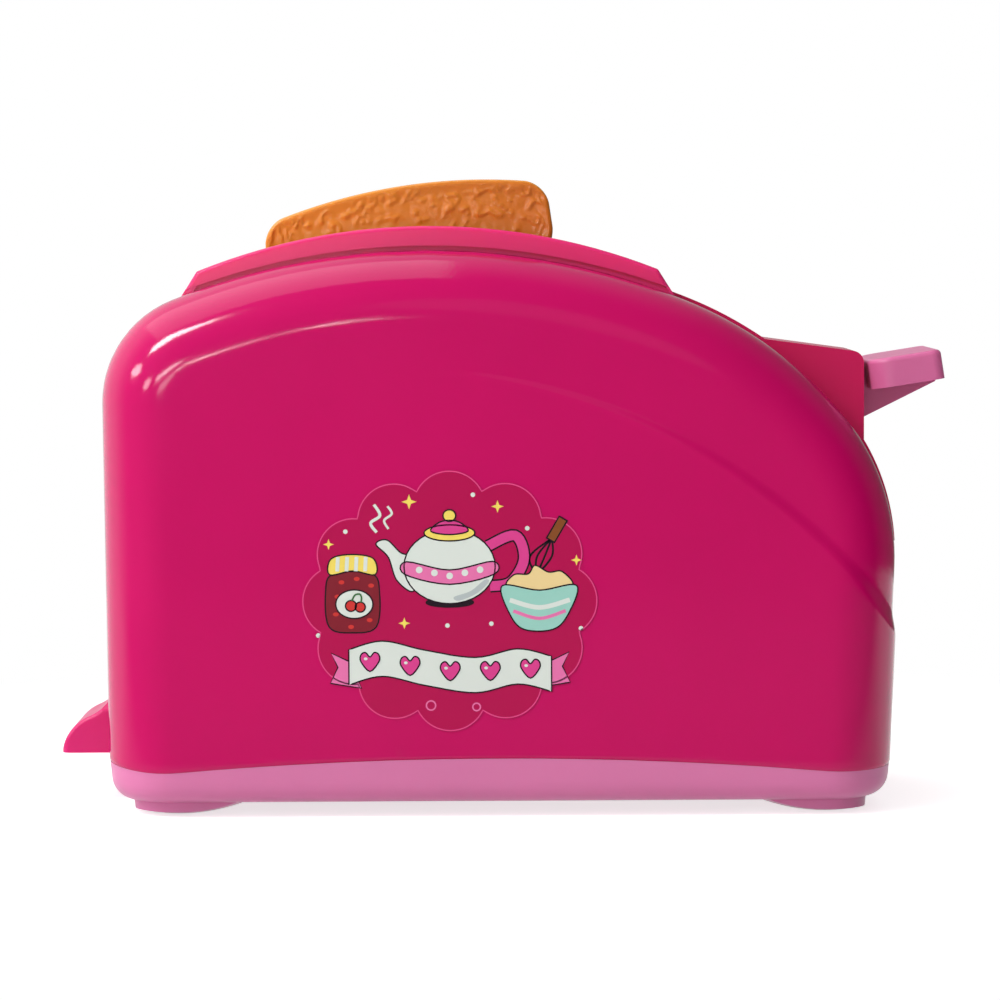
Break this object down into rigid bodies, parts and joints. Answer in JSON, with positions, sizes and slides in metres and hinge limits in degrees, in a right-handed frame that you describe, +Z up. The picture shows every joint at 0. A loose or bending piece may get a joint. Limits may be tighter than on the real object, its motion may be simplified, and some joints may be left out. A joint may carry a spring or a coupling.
{
  "type": "toy toaster",
  "caption": "Rounded toy toaster with a pull-down side lever that swings tilted slices up through two slots, and a release lever at the other end.",
  "frame": {"origin": "on the surface the feet rest on, under the middle of the overall box", "axes": "+X towards the pull-down lever, +Y towards the back, +Z up"},
  "size_m": [0.2159, 0.0922, 0.1519],
  "materials": {
    "housing_pink": "gloss",
    "base_pink": "gloss",
    "frame_pink": "gloss",
    "guide_pink": "gloss",
    "carriage_white": "satin",
    "toast": "satin",
    "paddle_pink": "gloss",
    "release_pink": "gloss",
    "steel": "plated",
    "spring_steel": "bright",
    "label": "gloss vinyl"
  },
  "bodies": {
    "housing": {"front_shell": "housing_pink", "rear_shell": "housing_pink", "base": "base_pink", "slot_frame": "frame_pink", "lever_guide": "guide_pink", "carriage_pin": "steel", "release_pin": "steel", "return_spring": "spring_steel", "release_spring": "spring_steel", "shell_screws": "steel", "base_screws": "steel", "spring_screw": "steel", "front_sticker": "label"},
    "carriage": {"carriage_arm": "carriage_white", "toast_rack": "carriage_white", "lever_paddle": "paddle_pink", "rack_screws": "steel", "paddle_screw": "steel"},
    "front_slice": {"toast_front": "toast"},
    "rear_slice": {"toast_rear": "toast"},
    "release": {"release_lever": "release_pink"}
  },
  "joints": [
    {"name": "carriage_swing", "type": "hinge", "parent": "housing", "child": "carriage", "pos_m": [-0.085, 0, 0.046], "axis": [0, 1, 0], "range_deg": [0, 8.5], "stiffness_Nm_per_rad": 0.35, "springref_deg": -28.65, "deforming": ["return_spring"]},
    {"name": "release_press", "type": "hinge", "parent": "housing", "child": "release", "pos_m": [-0.08, 0, 0.017], "axis": [0, -1, 0], "range_deg": [0, 6], "stiffness_Nm_per_rad": 0.05, "springref_deg": -20.05, "deforming": ["release_spring"]},
    {"name": "front_slice_lift", "type": "slide", "parent": "carriage", "child": "front_slice", "axis": [-0.1478, 0, 0.989], "range_m": [0, 0.08]},
    {"name": "rear_slice_lift", "type": "slide", "parent": "carriage", "child": "rear_slice", "axis": [-0.1478, 0, 0.989], "range_m": [0, 0.08]}
  ]
}
